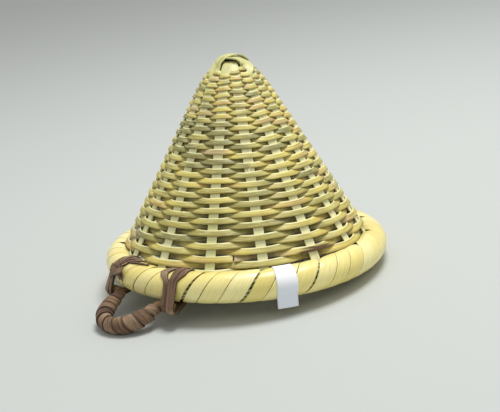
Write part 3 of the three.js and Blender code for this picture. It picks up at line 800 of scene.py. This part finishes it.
# The other seams stray and open unevenly, in degrees and in millimetres
OTHER_SHIFT = 1.6
LEAST_GAP = 0.3
OTHER_GAP = 0.65
GAP_CHANGE = 0.8

# Beside a stake the turns are notched, within some degrees of the place where it enters the rim
NOTCH = 4.6 * MM
NOTCH_ANGLES = (6, 40)

# The part of a turn, counted from the outer side over the top, in which a seam moves on unseen
HIDDEN_PART = (0.36, 0.8)

# The tube angle at which the gaps are widest
WIDEST_ANGLE = 330


def from_front(seam):
    """The number of the same seam when the seams are counted both ways from the front."""
    return (seam + SEAMS // 2) % SEAMS - SEAMS // 2


def seam_shift(seam):
    seam = from_front(seam)
    place = seam - FIRST_SHIFTED
    if 0 <= place < len(SEAM_SHIFTS):
        return SEAM_SHIFTS[place]
    return OTHER_SHIFT * uneven(seam * 3.3, 0.7, 0.2)


def seam_gap(seam):
    seam = from_front(seam)
    if seam in OPEN_SEAMS:
        return OPEN_SEAMS[seam] * MM
    return max(LEAST_GAP, OTHER_GAP + GAP_CHANGE * uneven(seam * 1.7, 4.7, 0.9)) * MM


def seam_azimuth(family, angle, side):
    """The edge of a turn beside a seam, at a tube angle that goes on from turn to turn."""
    turns = angle / 360
    whole = floor(turns)
    hidden = smooth(*HIDDEN_PART, turns - whole)
    here = family + FIRST_SEAM + BINDING_STRIPS * whole
    shift = mix(seam_shift(here), seam_shift(here + BINDING_STRIPS), hidden)
    gap = mix(seam_gap(here), seam_gap(here + BINDING_STRIPS), hidden)
    place = FIRST_STAKE + SEAM_STEP * family + STAKE_ANGLE * (angle - 360 - FOOT_ANGLE) / 360
    wedge = 0.6 + 0.4 * cos(radians(angle - WIDEST_ANGLE))
    edge = gap / 2 * wedge
    if family % BINDING_STRIPS == 0:
        edge += NOTCH * (1 - smooth(*NOTCH_ANGLES, abs(angle % 360 - FOOT_ANGLE)))
    return place + shift + side * degrees(edge / RIM_RADIUS)


# %% [markdown]
# Peel is the glossy outer skin of bamboo. It is yellow and nearly even, with a few darker lines
# along it, and a thin coat on the shader gives its soft shine.

# %% The peel's surface
PEEL_DEEP = colour(226, 208, 114)
PEEL_YELLOW = colour(246, 230, 142)
PEEL_PALE = colour(252, 242, 172)
PEEL_WARM = colour(230, 202, 128)
PEEL_LINE = colour(190, 168, 88)


def peel_surface():
    material, tree, strip_uv, tint = new_surface("yellow peel")
    lines = strip_uv.scaled(12, 3, 4)
    fine = strip_uv.scaled(60, 12, 3, 2.9)
    shade = (tint + (lines - 0.5) * 0.5).ramp(
        (0.1, PEEL_DEEP), (0.4, PEEL_YELLOW), (0.7, PEEL_PALE), (1.0, PEEL_WARM))
    shade = shade.blend(PEEL_LINE, (1 - fine.step(0.34, 0.5)) * 0.35)
    close_surface(tree, shade, 0.26 + fine * 0.12, lines + fine * 0.3, 0.06 * MM,
                  Coat_Weight=0.15, Coat_Roughness=0.2)
    return material


PEEL = peel_surface()

# %% [markdown]
# A strip's middle swells a little, and one edge stands out more than the other, so that a fine
# shadow lies along each seam.

# %% Wind the binding
PEEL_RADIUS = 12.35 * MM
PEEL_THICKNESS = 0.8 * MM
PEEL_EDGE = 0.25 * MM
PEEL_SWELL = 0.22 * MM
PEEL_LAP = 0.14 * MM
PEEL_WAVER = 0.12
PEEL_START = 180
PEEL_ROWS = 8
PEEL_PATTERN_STEP = 1.7
STEPS_PER_TURN = 24


def rim_point(azimuth, angle, radius):
    point = outward(azimuth) * (RIM_RADIUS + radius * cos(radians(angle)))
    point.z = TUBE_RADIUS + radius * sin(radians(angle))
    return point


def binding_point(family, share, across):
    angle = PEEL_START + 360 * TURNS * share
    left = seam_azimuth(family, angle, 1)
    right = seam_azimuth(family + 1, angle, -1)
    azimuth = mix(left, right, (across + 1) / 2)
    waver = uneven(angle * 0.02, family * 3.1, 0.3) * PEEL_WAVER * MM
    radius = PEEL_RADIUS + PEEL_SWELL * (1 - across ** 2) + PEEL_LAP * across + waver
    return rim_point(azimuth, angle, radius)


for family in range(BINDING_STRIPS):
    mesh = bmesh.new()
    strip(mesh, TURNS * STEPS_PER_TURN, PEEL_ROWS,
          lambda share, across: binding_point(family, share, across),
          TURNS * 2 * pi * TUBE_RADIUS, family * PEEL_PATTERN_STEP,
          tint=lambda share, across: 0.5 + 0.45 * uneven(share * 31, family, 0.6))
    finish_piece(f"peel_binding_{family + 1}", mesh, PEEL, "basket",
                 [f"rim_binding_{family + 1}"], PEEL_THICKNESS, PEEL_EDGE)

# %% [markdown]
# ## Hanging loop
# A bent cane is wrapped with a strip of bark, and its two feet are lashed under the rim. The centre
# line is a foot, a tight bend, a leg and half an oval, then the same the other way round. Its tip
# is bent up a little where it rests on the floor.

# %% The loop's line
LOOP_DROOP = 25.2
LOOP_HALF_WIDTH = 24.6 * MM
LOOP_STRAIGHT = 10 * MM
LOOP_REACH = 36 * MM
TIP_RISE = 2.2 * MM
FOOT_BEND = 5.4 * MM
FOOT_END = 41.5 * MM
CORE_RADIUS = 4 * MM
BEND_STEPS = 8
OVAL_STEPS = 24
loop_sideways = along(LOOP_AZIMUTH)
loop_away = outward(LOOP_AZIMUTH) * cos(radians(LOOP_DROOP)) - UP * sin(radians(LOOP_DROOP))
loop_face = loop_sideways.cross(loop_away)


def half_loop():
    line = [(-FOOT_END, 0)]
    for i in range(BEND_STEPS + 1):
        angle = pi / 2 * i / BEND_STEPS
        line.append((-LOOP_HALF_WIDTH - FOOT_BEND * (1 - sin(angle)), FOOT_BEND * (1 - cos(angle))))
    for i in range(OVAL_STEPS + 1):
        angle = pi / 2 * i / OVAL_STEPS
        line.append((-LOOP_HALF_WIDTH * cos(angle),
                     LOOP_STRAIGHT + (LOOP_REACH - LOOP_STRAIGHT) * sin(angle)))
    return line


loop_line = half_loop()
loop_line += [(-u, v) for u, v in reversed(loop_line[:-1])]
loop_points = [hinge_upright + loop_sideways * u + loop_away * v
               - loop_face * (TIP_RISE * (v / LOOP_REACH) ** 2) for u, v in loop_line]
loop_lengths = [0.0]
for before, after in zip(loop_points, loop_points[1:]):
    loop_lengths.append(loop_lengths[-1] + (after - before).length)
LOOP_LENGTH = loop_lengths[-1]


def loop_centre(distance):
    distance = min(max(distance, 0), LOOP_LENGTH)
    place = min(max(bisect_left(loop_lengths, distance), 1), len(loop_points) - 1)
    low, high = loop_lengths[place - 1], loop_lengths[place]
    return loop_points[place - 1].lerp(loop_points[place], (distance - low) / (high - low))


def loop_point(distance, angle, radius):
    """A point round the loop's line: angle 0 is its outer side and 90 its lower face."""
    reach = 2 * MM
    run = (loop_centre(distance + reach) - loop_centre(distance - reach)).normalized()
    across = loop_face.cross(run)
    return (loop_centre(distance) + across * (radius * cos(radians(angle)))
            + loop_face * (radius * sin(radians(angle))))


print("loop length, mm", round(LOOP_LENGTH / MM, 1))

# %% [markdown]
# Bark is dry, matt and brown, with coarse fibres along it and dark torn edges. The cane under it
# is smoother, and shows only at the two feet.

# %% Bark and cane
DARK_BARK = colour(40, 28, 18)
BARK_SHADOW = colour(62, 42, 28)
BARK_BROWN = colour(108, 80, 58)
BARK_TAN = colour(142, 114, 86)
BARK_PALE = colour(186, 162, 132)
CANE_BROWN = colour(104, 78, 48)
CANE_TAN = colour(158, 128, 84)


def bark_surface():
    material, tree, strip_uv, tint = new_surface("dry bark")
    fibres = strip_uv.scaled(50, 3.5, 5)
    fine = strip_uv.scaled(160, 12, 3, 4.4)
    shade = (tint + (fibres - 0.5) * 1.1).ramp(
        (0.15, BARK_SHADOW), (0.38, BARK_BROWN), (0.58, BARK_TAN), (0.85, BARK_PALE))
    shade = shade.blend(DARK_BARK, (1 - fine.step(0.3, 0.5)) * 0.6)
    across = tree.add("ShaderNodeSeparateXYZ", {}, {0: strip_uv}, 1)
    edge = tree.math("ABSOLUTE", across + (fibres - 0.5) * 0.4).step(0.72, 1)
    shade = shade.blend(DARK_BARK, edge * 0.85)
    close_surface(tree, shade, 0.7 + fine * 0.15, fibres + fine * 0.5, 0.35 * MM)
    return material


def cane_surface():
    material, tree, strip_uv, _ = new_surface("cane")
    fibres = strip_uv.scaled(40, 9, 4)
    shade = fibres.ramp((0.3, CANE_BROWN), (0.7, CANE_TAN))
    close_surface(tree, shade, 0.55, fibres, 0.1 * MM)
    return material


BARK = bark_surface()
CANE = cane_surface()

# %% [markdown]
# The cane is a strip that closes round the loop's line, with its seam merged and its ends filled.
# The wrap winds round it in ten turns that lap a little. It is thin beside the lashings, which
# leaves them room when the loop swings, and thickest along the loop's two sides.

# %% Make the cane core and the bark wrap
CORE_COLUMNS = 80
CORE_ROWS = 16
WRAP_TURNS = 10
WRAP_PLACES = [14 * MM, 24 * MM, 35 * MM, 46 * MM, 60 * MM]
WRAP_RADII = [4.45 * MM, 5.0 * MM, 6.7 * MM, 6.8 * MM, 6.4 * MM]
WRAP_THICKNESS = 0.8 * MM
WRAP_EDGE = 0.2 * MM
WRAP_LAP = 0.3 * MM
WRAP_ROUGHNESS = 0.4 * MM
WRAP_START = 14 * MM
WRAP_STEPS = 24
WRAP_ROWS = 8


def core_point(share, across):
    return loop_point(LOOP_LENGTH * share, 180 * across, CORE_RADIUS)


mesh = bmesh.new()
strip(mesh, CORE_COLUMNS, CORE_ROWS, core_point, LOOP_LENGTH)
bmesh.ops.remove_doubles(mesh, verts=mesh.verts, dist=0.01 * MM)
bmesh.ops.holes_fill(mesh, edges=mesh.edges, sides=0)
bmesh.ops.recalc_face_normals(mesh, faces=mesh.faces)
finish_piece("loop_cane", mesh, CANE, "hanging_loop", ["loop_core"])

wrap_pitch = (LOOP_LENGTH - 2 * WRAP_START) / (WRAP_TURNS + 1)


def wrap_point(share, across):
    angle = 360 * WRAP_TURNS * share
    distance = WRAP_START + wrap_pitch * (0.5 + angle / 360)
    half = wrap_pitch * (0.5 + 0.08 * uneven(angle * 0.01, 0.5, 0.5))
    rough = WRAP_ROUGHNESS * uneven(angle * 0.03, across * 1.5, 0.2)
    radius = bend_through(min(distance, LOOP_LENGTH - distance), WRAP_PLACES, WRAP_RADII)
    radius += (WRAP_LAP * across + rough) * smooth(WRAP_PLACES[0], WRAP_PLACES[1], distance)
    return loop_point(distance + across * half, angle + 180, radius)


mesh = bmesh.new()
strip(mesh, WRAP_TURNS * WRAP_STEPS, WRAP_ROWS, wrap_point,
      WRAP_TURNS * 2 * pi * WRAP_RADII[-1],
      tint=lambda share, across: 0.5 + 0.4 * uneven(share * 21, 0.2, 0.8))
finish_piece("bark_wrap", mesh, BARK, "hanging_loop", ["loop_wrap"],
             WRAP_THICKNESS, WRAP_EDGE)

# %% [markdown]
# The feet are held by straps of the same bark that go round the rim and the foot together. A
# strap's path is the outline of two circles with a tight band round them, and each strand of it
# wanders a little along the rim on its way down.

# %% Make the lashings
LASHING_THICKNESS = 1.1 * MM
LASHING_EDGE = 0.25 * MM
LASHING_ROOM = 5.1 * MM
STRAP_RADIUS = 13.7 * MM
STRAP_MARGIN = 4
RIM_STEPS = 24
FOOT_STEPS = 16
STRAND_COLUMNS = 96
STRAND_ROWS = 6
STRAND_LENGTH = 130 * MM
STRAND_ROUGHNESS = 0.4 * MM
STRAND_SHARES = [0, 0.2, 0.36, 0.75, 1]
STRAND_SPREADS = (1.15, 1.3, 0.9, 0.9, 1)

# The strands of each strap: azimuths on top of the rim, at its side and at the foot, then the
# width and the lift over the strands below, in millimetres
STRANDS = {
    "right_lashing_1": [(-31.4, -34.2, -31.8, 6, 0)],
    "right_lashing_2": [(-27.6, -28.6, -29.6, 5.4, 0.5), (-25, -26, -28.2, 5, 0)],
    "left_lashing_1": [(-55, -59.4, -64, 7.2, 0), (-58, -61, -64.3, 7, 0.5)],
    "left_lashing_2": [(-60.5, -63.4, -66.3, 7, 0), (-62, -61.6, -63.6, 5, 0.9)],
}

# The knot on the left strap: the ways its ends take over the rim, by azimuth and tube angle
TAILS = [
    [(-60, 70), (-55.5, 76), (-51, 84), (-46, 90)],
    [(-64, 46), (-60.5, 34), (-57.4, 20), (-56, 4)],
    [(-66.4, 24), (-62.6, 26), (-59, 18), (-57, 7)],
    [(-56, 34), (-59.8, 22), (-63.4, 10), (-66, -6)],
]
TAIL_WIDTHS = [3 * MM, 6 * MM, 5.6 * MM, 5.6 * MM]
KNOT_LIFT = 0.9 * MM
TAIL_COLUMNS = 24
TAIL_LENGTH = 30 * MM
TAIL_ROUGHNESS = 0.5 * MM


def strap_outline(azimuth, lift):
    """Points of the band in the plane through the rim: outward and upright parts."""
    foot = HINGE_RADIUS / cos(radians(azimuth - LOOP_AZIMUTH)) - RIM_RADIUS
    drop = HINGE_HEIGHT - TUBE_RADIUS
    reach = hypot(foot, drop)
    facing = degrees(atan2(drop, foot))
    slant = degrees(atan2(STRAP_RADIUS - LASHING_ROOM, reach))
    outline = []

    def arc(centre, radius, start, end, steps):
        for i in range(steps + 1):
            angle = radians(mix(start, end, i / steps))
            outline.append((centre[0] + (radius + lift) * cos(angle),
                            centre[1] + (radius + lift) * sin(angle)))

    arc((0, 0), STRAP_RADIUS, FOOT_ANGLE - STRAP_MARGIN, facing + 90 - slant, RIM_STEPS)
    arc((foot, drop), LASHING_ROOM, facing + 90 - slant, facing - 90 + slant, FOOT_STEPS)
    arc((0, 0), STRAP_RADIUS, facing - 90 + slant, FOOT_ANGLE + STRAP_MARGIN - 360, RIM_STEPS)
    return outline


def part_way(points, share):
    """The two numbers of a point that lies a share of the way through a list of points."""
    last = len(points) - 1
    before = min(int(share * last), last - 1)
    part = share * last - before
    return [mix(low, high, part) for low, high in zip(points[before], points[before + 1])]


def strand_place(top, side, foot, width, lift):
    outline = strap_outline(foot, lift * MM)

    def place(share, across):
        x, z = part_way(outline, share)
        azimuth = bend_through(share, STRAND_SHARES, (top, side, foot, foot, top))
        rough = STRAND_ROUGHNESS * uneven(share * 14, across * 1.6, foot)
        away = Vector((x, z)).normalized() * rough
        ragged = bend_through(share, STRAND_SHARES, STRAND_SPREADS)
        ragged += 0.12 * uneven(share * 18, across, width)
        point = outward(azimuth) * (RIM_RADIUS + x + away.x)
        point += along(azimuth) * (across * ragged * width * MM / 2)
        point.z = TUBE_RADIUS + z + away.y
        return point

    return place


def tail_place(number):
    places, width = TAILS[number], TAIL_WIDTHS[number]

    def place(share, across):
        azimuth, angle = part_way(places, share)
        angle += across * degrees(width * (1.1 - share * 0.5) / 2 / STRAP_RADIUS)
        rough = TAIL_ROUGHNESS * uneven(share * 5, across, number * 3.3)
        return rim_point(azimuth, angle, STRAP_RADIUS + number * KNOT_LIFT + rough)

    return place


for node, strands in STRANDS.items():
    mesh = bmesh.new()
    for strand in strands:
        strip(mesh, STRAND_COLUMNS, STRAND_ROWS, strand_place(*strand),
              STRAND_LENGTH, strand[2] * 0.1,
              tint=lambda share, across: 0.5 + 0.4 * uneven(share * 5, *strand[:2]))
    if node == "left_lashing_1":
        for number in range(len(TAILS)):
            strip(mesh, TAIL_COLUMNS, STRIP_ROWS, tail_place(number), TAIL_LENGTH, number,
                  tint=lambda share, across: 0.4 + 0.05 * number)
    finish_piece("bark_" + node, mesh, BARK, "basket", [node],
                 LASHING_THICKNESS, LASHING_EDGE)

# %% [markdown]
# ## Paper tab
# A blank strip of white paper is folded over the rim near the front. It clings to the binding,
# and its lower end hangs free and straight. Its front has a painted shade, a little bluer and
# darker than the top.

# %% Make the tab
TAB_AZIMUTH = 14.3
TAB_WIDTH = 17.6 * MM
TAB_RADIUS = 13.45 * MM
TAB_TOP = 100
TAB_LOW = -40
TAB_HANG = 6 * MM
TAB_THICKNESS = 0.3 * MM
TAB_COLUMNS = 48
TAB_ROWS = 12
TAB_FOLD = (0.45, 0.6)
PAPER_GREY = colour(248, 249, 252)
PAPER_WHITE = colour(254, 254, 255)
PAPER_SHADE_BLUE = colour(236, 241, 250)
tab_curve = radians(TAB_TOP - TAB_LOW) * TAB_RADIUS
tab_drop = rim_point(0, TAB_LOW, TAB_RADIUS).z + TAB_HANG


def paper_surface():
    material, tree, _, tint = new_surface("white paper")
    pulp = tree.add("ShaderNodeTexCoord", {}, {}, "Object").scaled(900, 900, 3)
    shade = pulp.ramp((0.3, PAPER_GREY), (0.7, PAPER_WHITE))
    # Painted shade: the hanging front is bluer and darker than the top
    shade = shade.blend(PAPER_SHADE_BLUE, tint)
    close_surface(tree, shade, 0.6, pulp, 0.02 * MM)
    return material


def tab_point(share, across):
    travelled = share * (tab_curve + tab_drop)
    azimuth = TAB_AZIMUTH + across * degrees(TAB_WIDTH / 2 / (RIM_RADIUS + TUBE_RADIUS))
    if travelled <= tab_curve:
        angle = TAB_TOP - degrees(travelled / TAB_RADIUS)
        return rim_point(azimuth, angle, TAB_RADIUS)
    point = rim_point(azimuth, TAB_LOW, TAB_RADIUS)
    point.z -= travelled - tab_curve
    return point


PAPER = paper_surface()
mesh = bmesh.new()
# The tint mark carries the painted shade of the hanging front
strip(mesh, TAB_COLUMNS, TAB_ROWS, tab_point, tab_curve + tab_drop,
      tint=lambda share, across: smooth(*TAB_FOLD, share))
finish_piece("white_tab", mesh, PAPER, "basket", ["paper_tab"], TAB_THICKNESS)

# %% [markdown]
# ## Floor, light and camera
# The floor is plain and pale. Most of the light comes from all round, and one broad lamp high
# above, a little to the right, gives the soft shadows under the rim and the loop.

# %% Floor and light
FLOOR_HALF = 30
FLOOR_GREY = colour(193, 197, 193)
WORLD_STRENGTH = 0.55
LAMP_SIZE = 0.9
LAMP_POWER = 30
LAMP_PLACE = Vector((0.42, 0.14, 1.88))


def floor_surface():
    material = bpy.data.materials.new("pale floor")
    material.use_nodes = True
    shader = material.node_tree.nodes["Principled BSDF"]
    shader.inputs["Base Color"].default_value = FLOOR_GREY
    shader.inputs["Roughness"].default_value = 0.85
    return material


mesh = bmesh.new()
bmesh.ops.create_grid(mesh, x_segments=1, y_segments=1, size=FLOOR_HALF)
data = bpy.data.meshes.new("floor")
mesh.to_mesh(data)
mesh.free()
data.materials.append(floor_surface())
ground = bpy.data.objects.new("floor", data)
bpy.context.scene.collection.objects.link(ground)

world = bpy.data.worlds.new("soft room")
world.use_nodes = True
world.node_tree.nodes["Background"].inputs["Color"].default_value = (1, 1, 1, 1)
world.node_tree.nodes["Background"].inputs["Strength"].default_value = WORLD_STRENGTH
bpy.context.scene.world = world

lamp = bpy.data.lights.new("broad lamp", "AREA")
lamp.shape = "DISK"
lamp.size = LAMP_SIZE
lamp.energy = LAMP_POWER
lamp_object = bpy.data.objects.new("broad lamp", lamp)
lamp_object.matrix_world = (Matrix.Translation(LAMP_PLACE)
                            @ LAMP_PLACE.to_track_quat("Z", "Y").to_matrix().to_4x4())
bpy.context.scene.collection.objects.link(lamp_object)

# %% [markdown]
# The camera was fitted to the rim's ellipse and the cone's two edges in the photograph: a long lens
# from nearly a metre away, looking down by 14 degrees, and turned a little.

# %% Camera
PHOTO_WIDTH = 500
SENSOR_WIDTH = 36
FOCAL_PIXELS = 1065
CAMERA_DISTANCE = 0.95
CAMERA_DOWN = radians(14.35)
CAMERA_ROLL = radians(-4.63)
TARGET = Vector((6.24, 0, 49.4)) * MM

forward = Vector((0, cos(CAMERA_DOWN), -sin(CAMERA_DOWN)))
screen_up = Vector((0, sin(CAMERA_DOWN), cos(CAMERA_DOWN)))
screen_right = Vector((1, 0, 0))
right = screen_right * cos(CAMERA_ROLL) + screen_up * sin(CAMERA_ROLL)
upward = screen_up * cos(CAMERA_ROLL) - screen_right * sin(CAMERA_ROLL)
spot = TARGET - forward * CAMERA_DISTANCE
upright_camera = Matrix((
    (right.x, upward.x, -forward.x, spot.x),
    (right.y, upward.y, -forward.y, spot.y),
    (right.z, upward.z, -forward.z, spot.z),
    (0, 0, 0, 1),
))
lens = bpy.data.cameras.new("camera")
lens.sensor_width = SENSOR_WIDTH
lens.sensor_fit = "HORIZONTAL"
lens.lens = FOCAL_PIXELS / PHOTO_WIDTH * SENSOR_WIDTH
camera = bpy.data.objects.new("camera", lens)
camera.matrix_world = BASKET @ upright_camera
bpy.context.scene.collection.objects.link(camera)
bpy.context.scene.camera = camera
bpy.context.scene.view_settings.view_transform = "Standard"
print("camera at", [round(v, 3) for v in camera.matrix_world.translation])
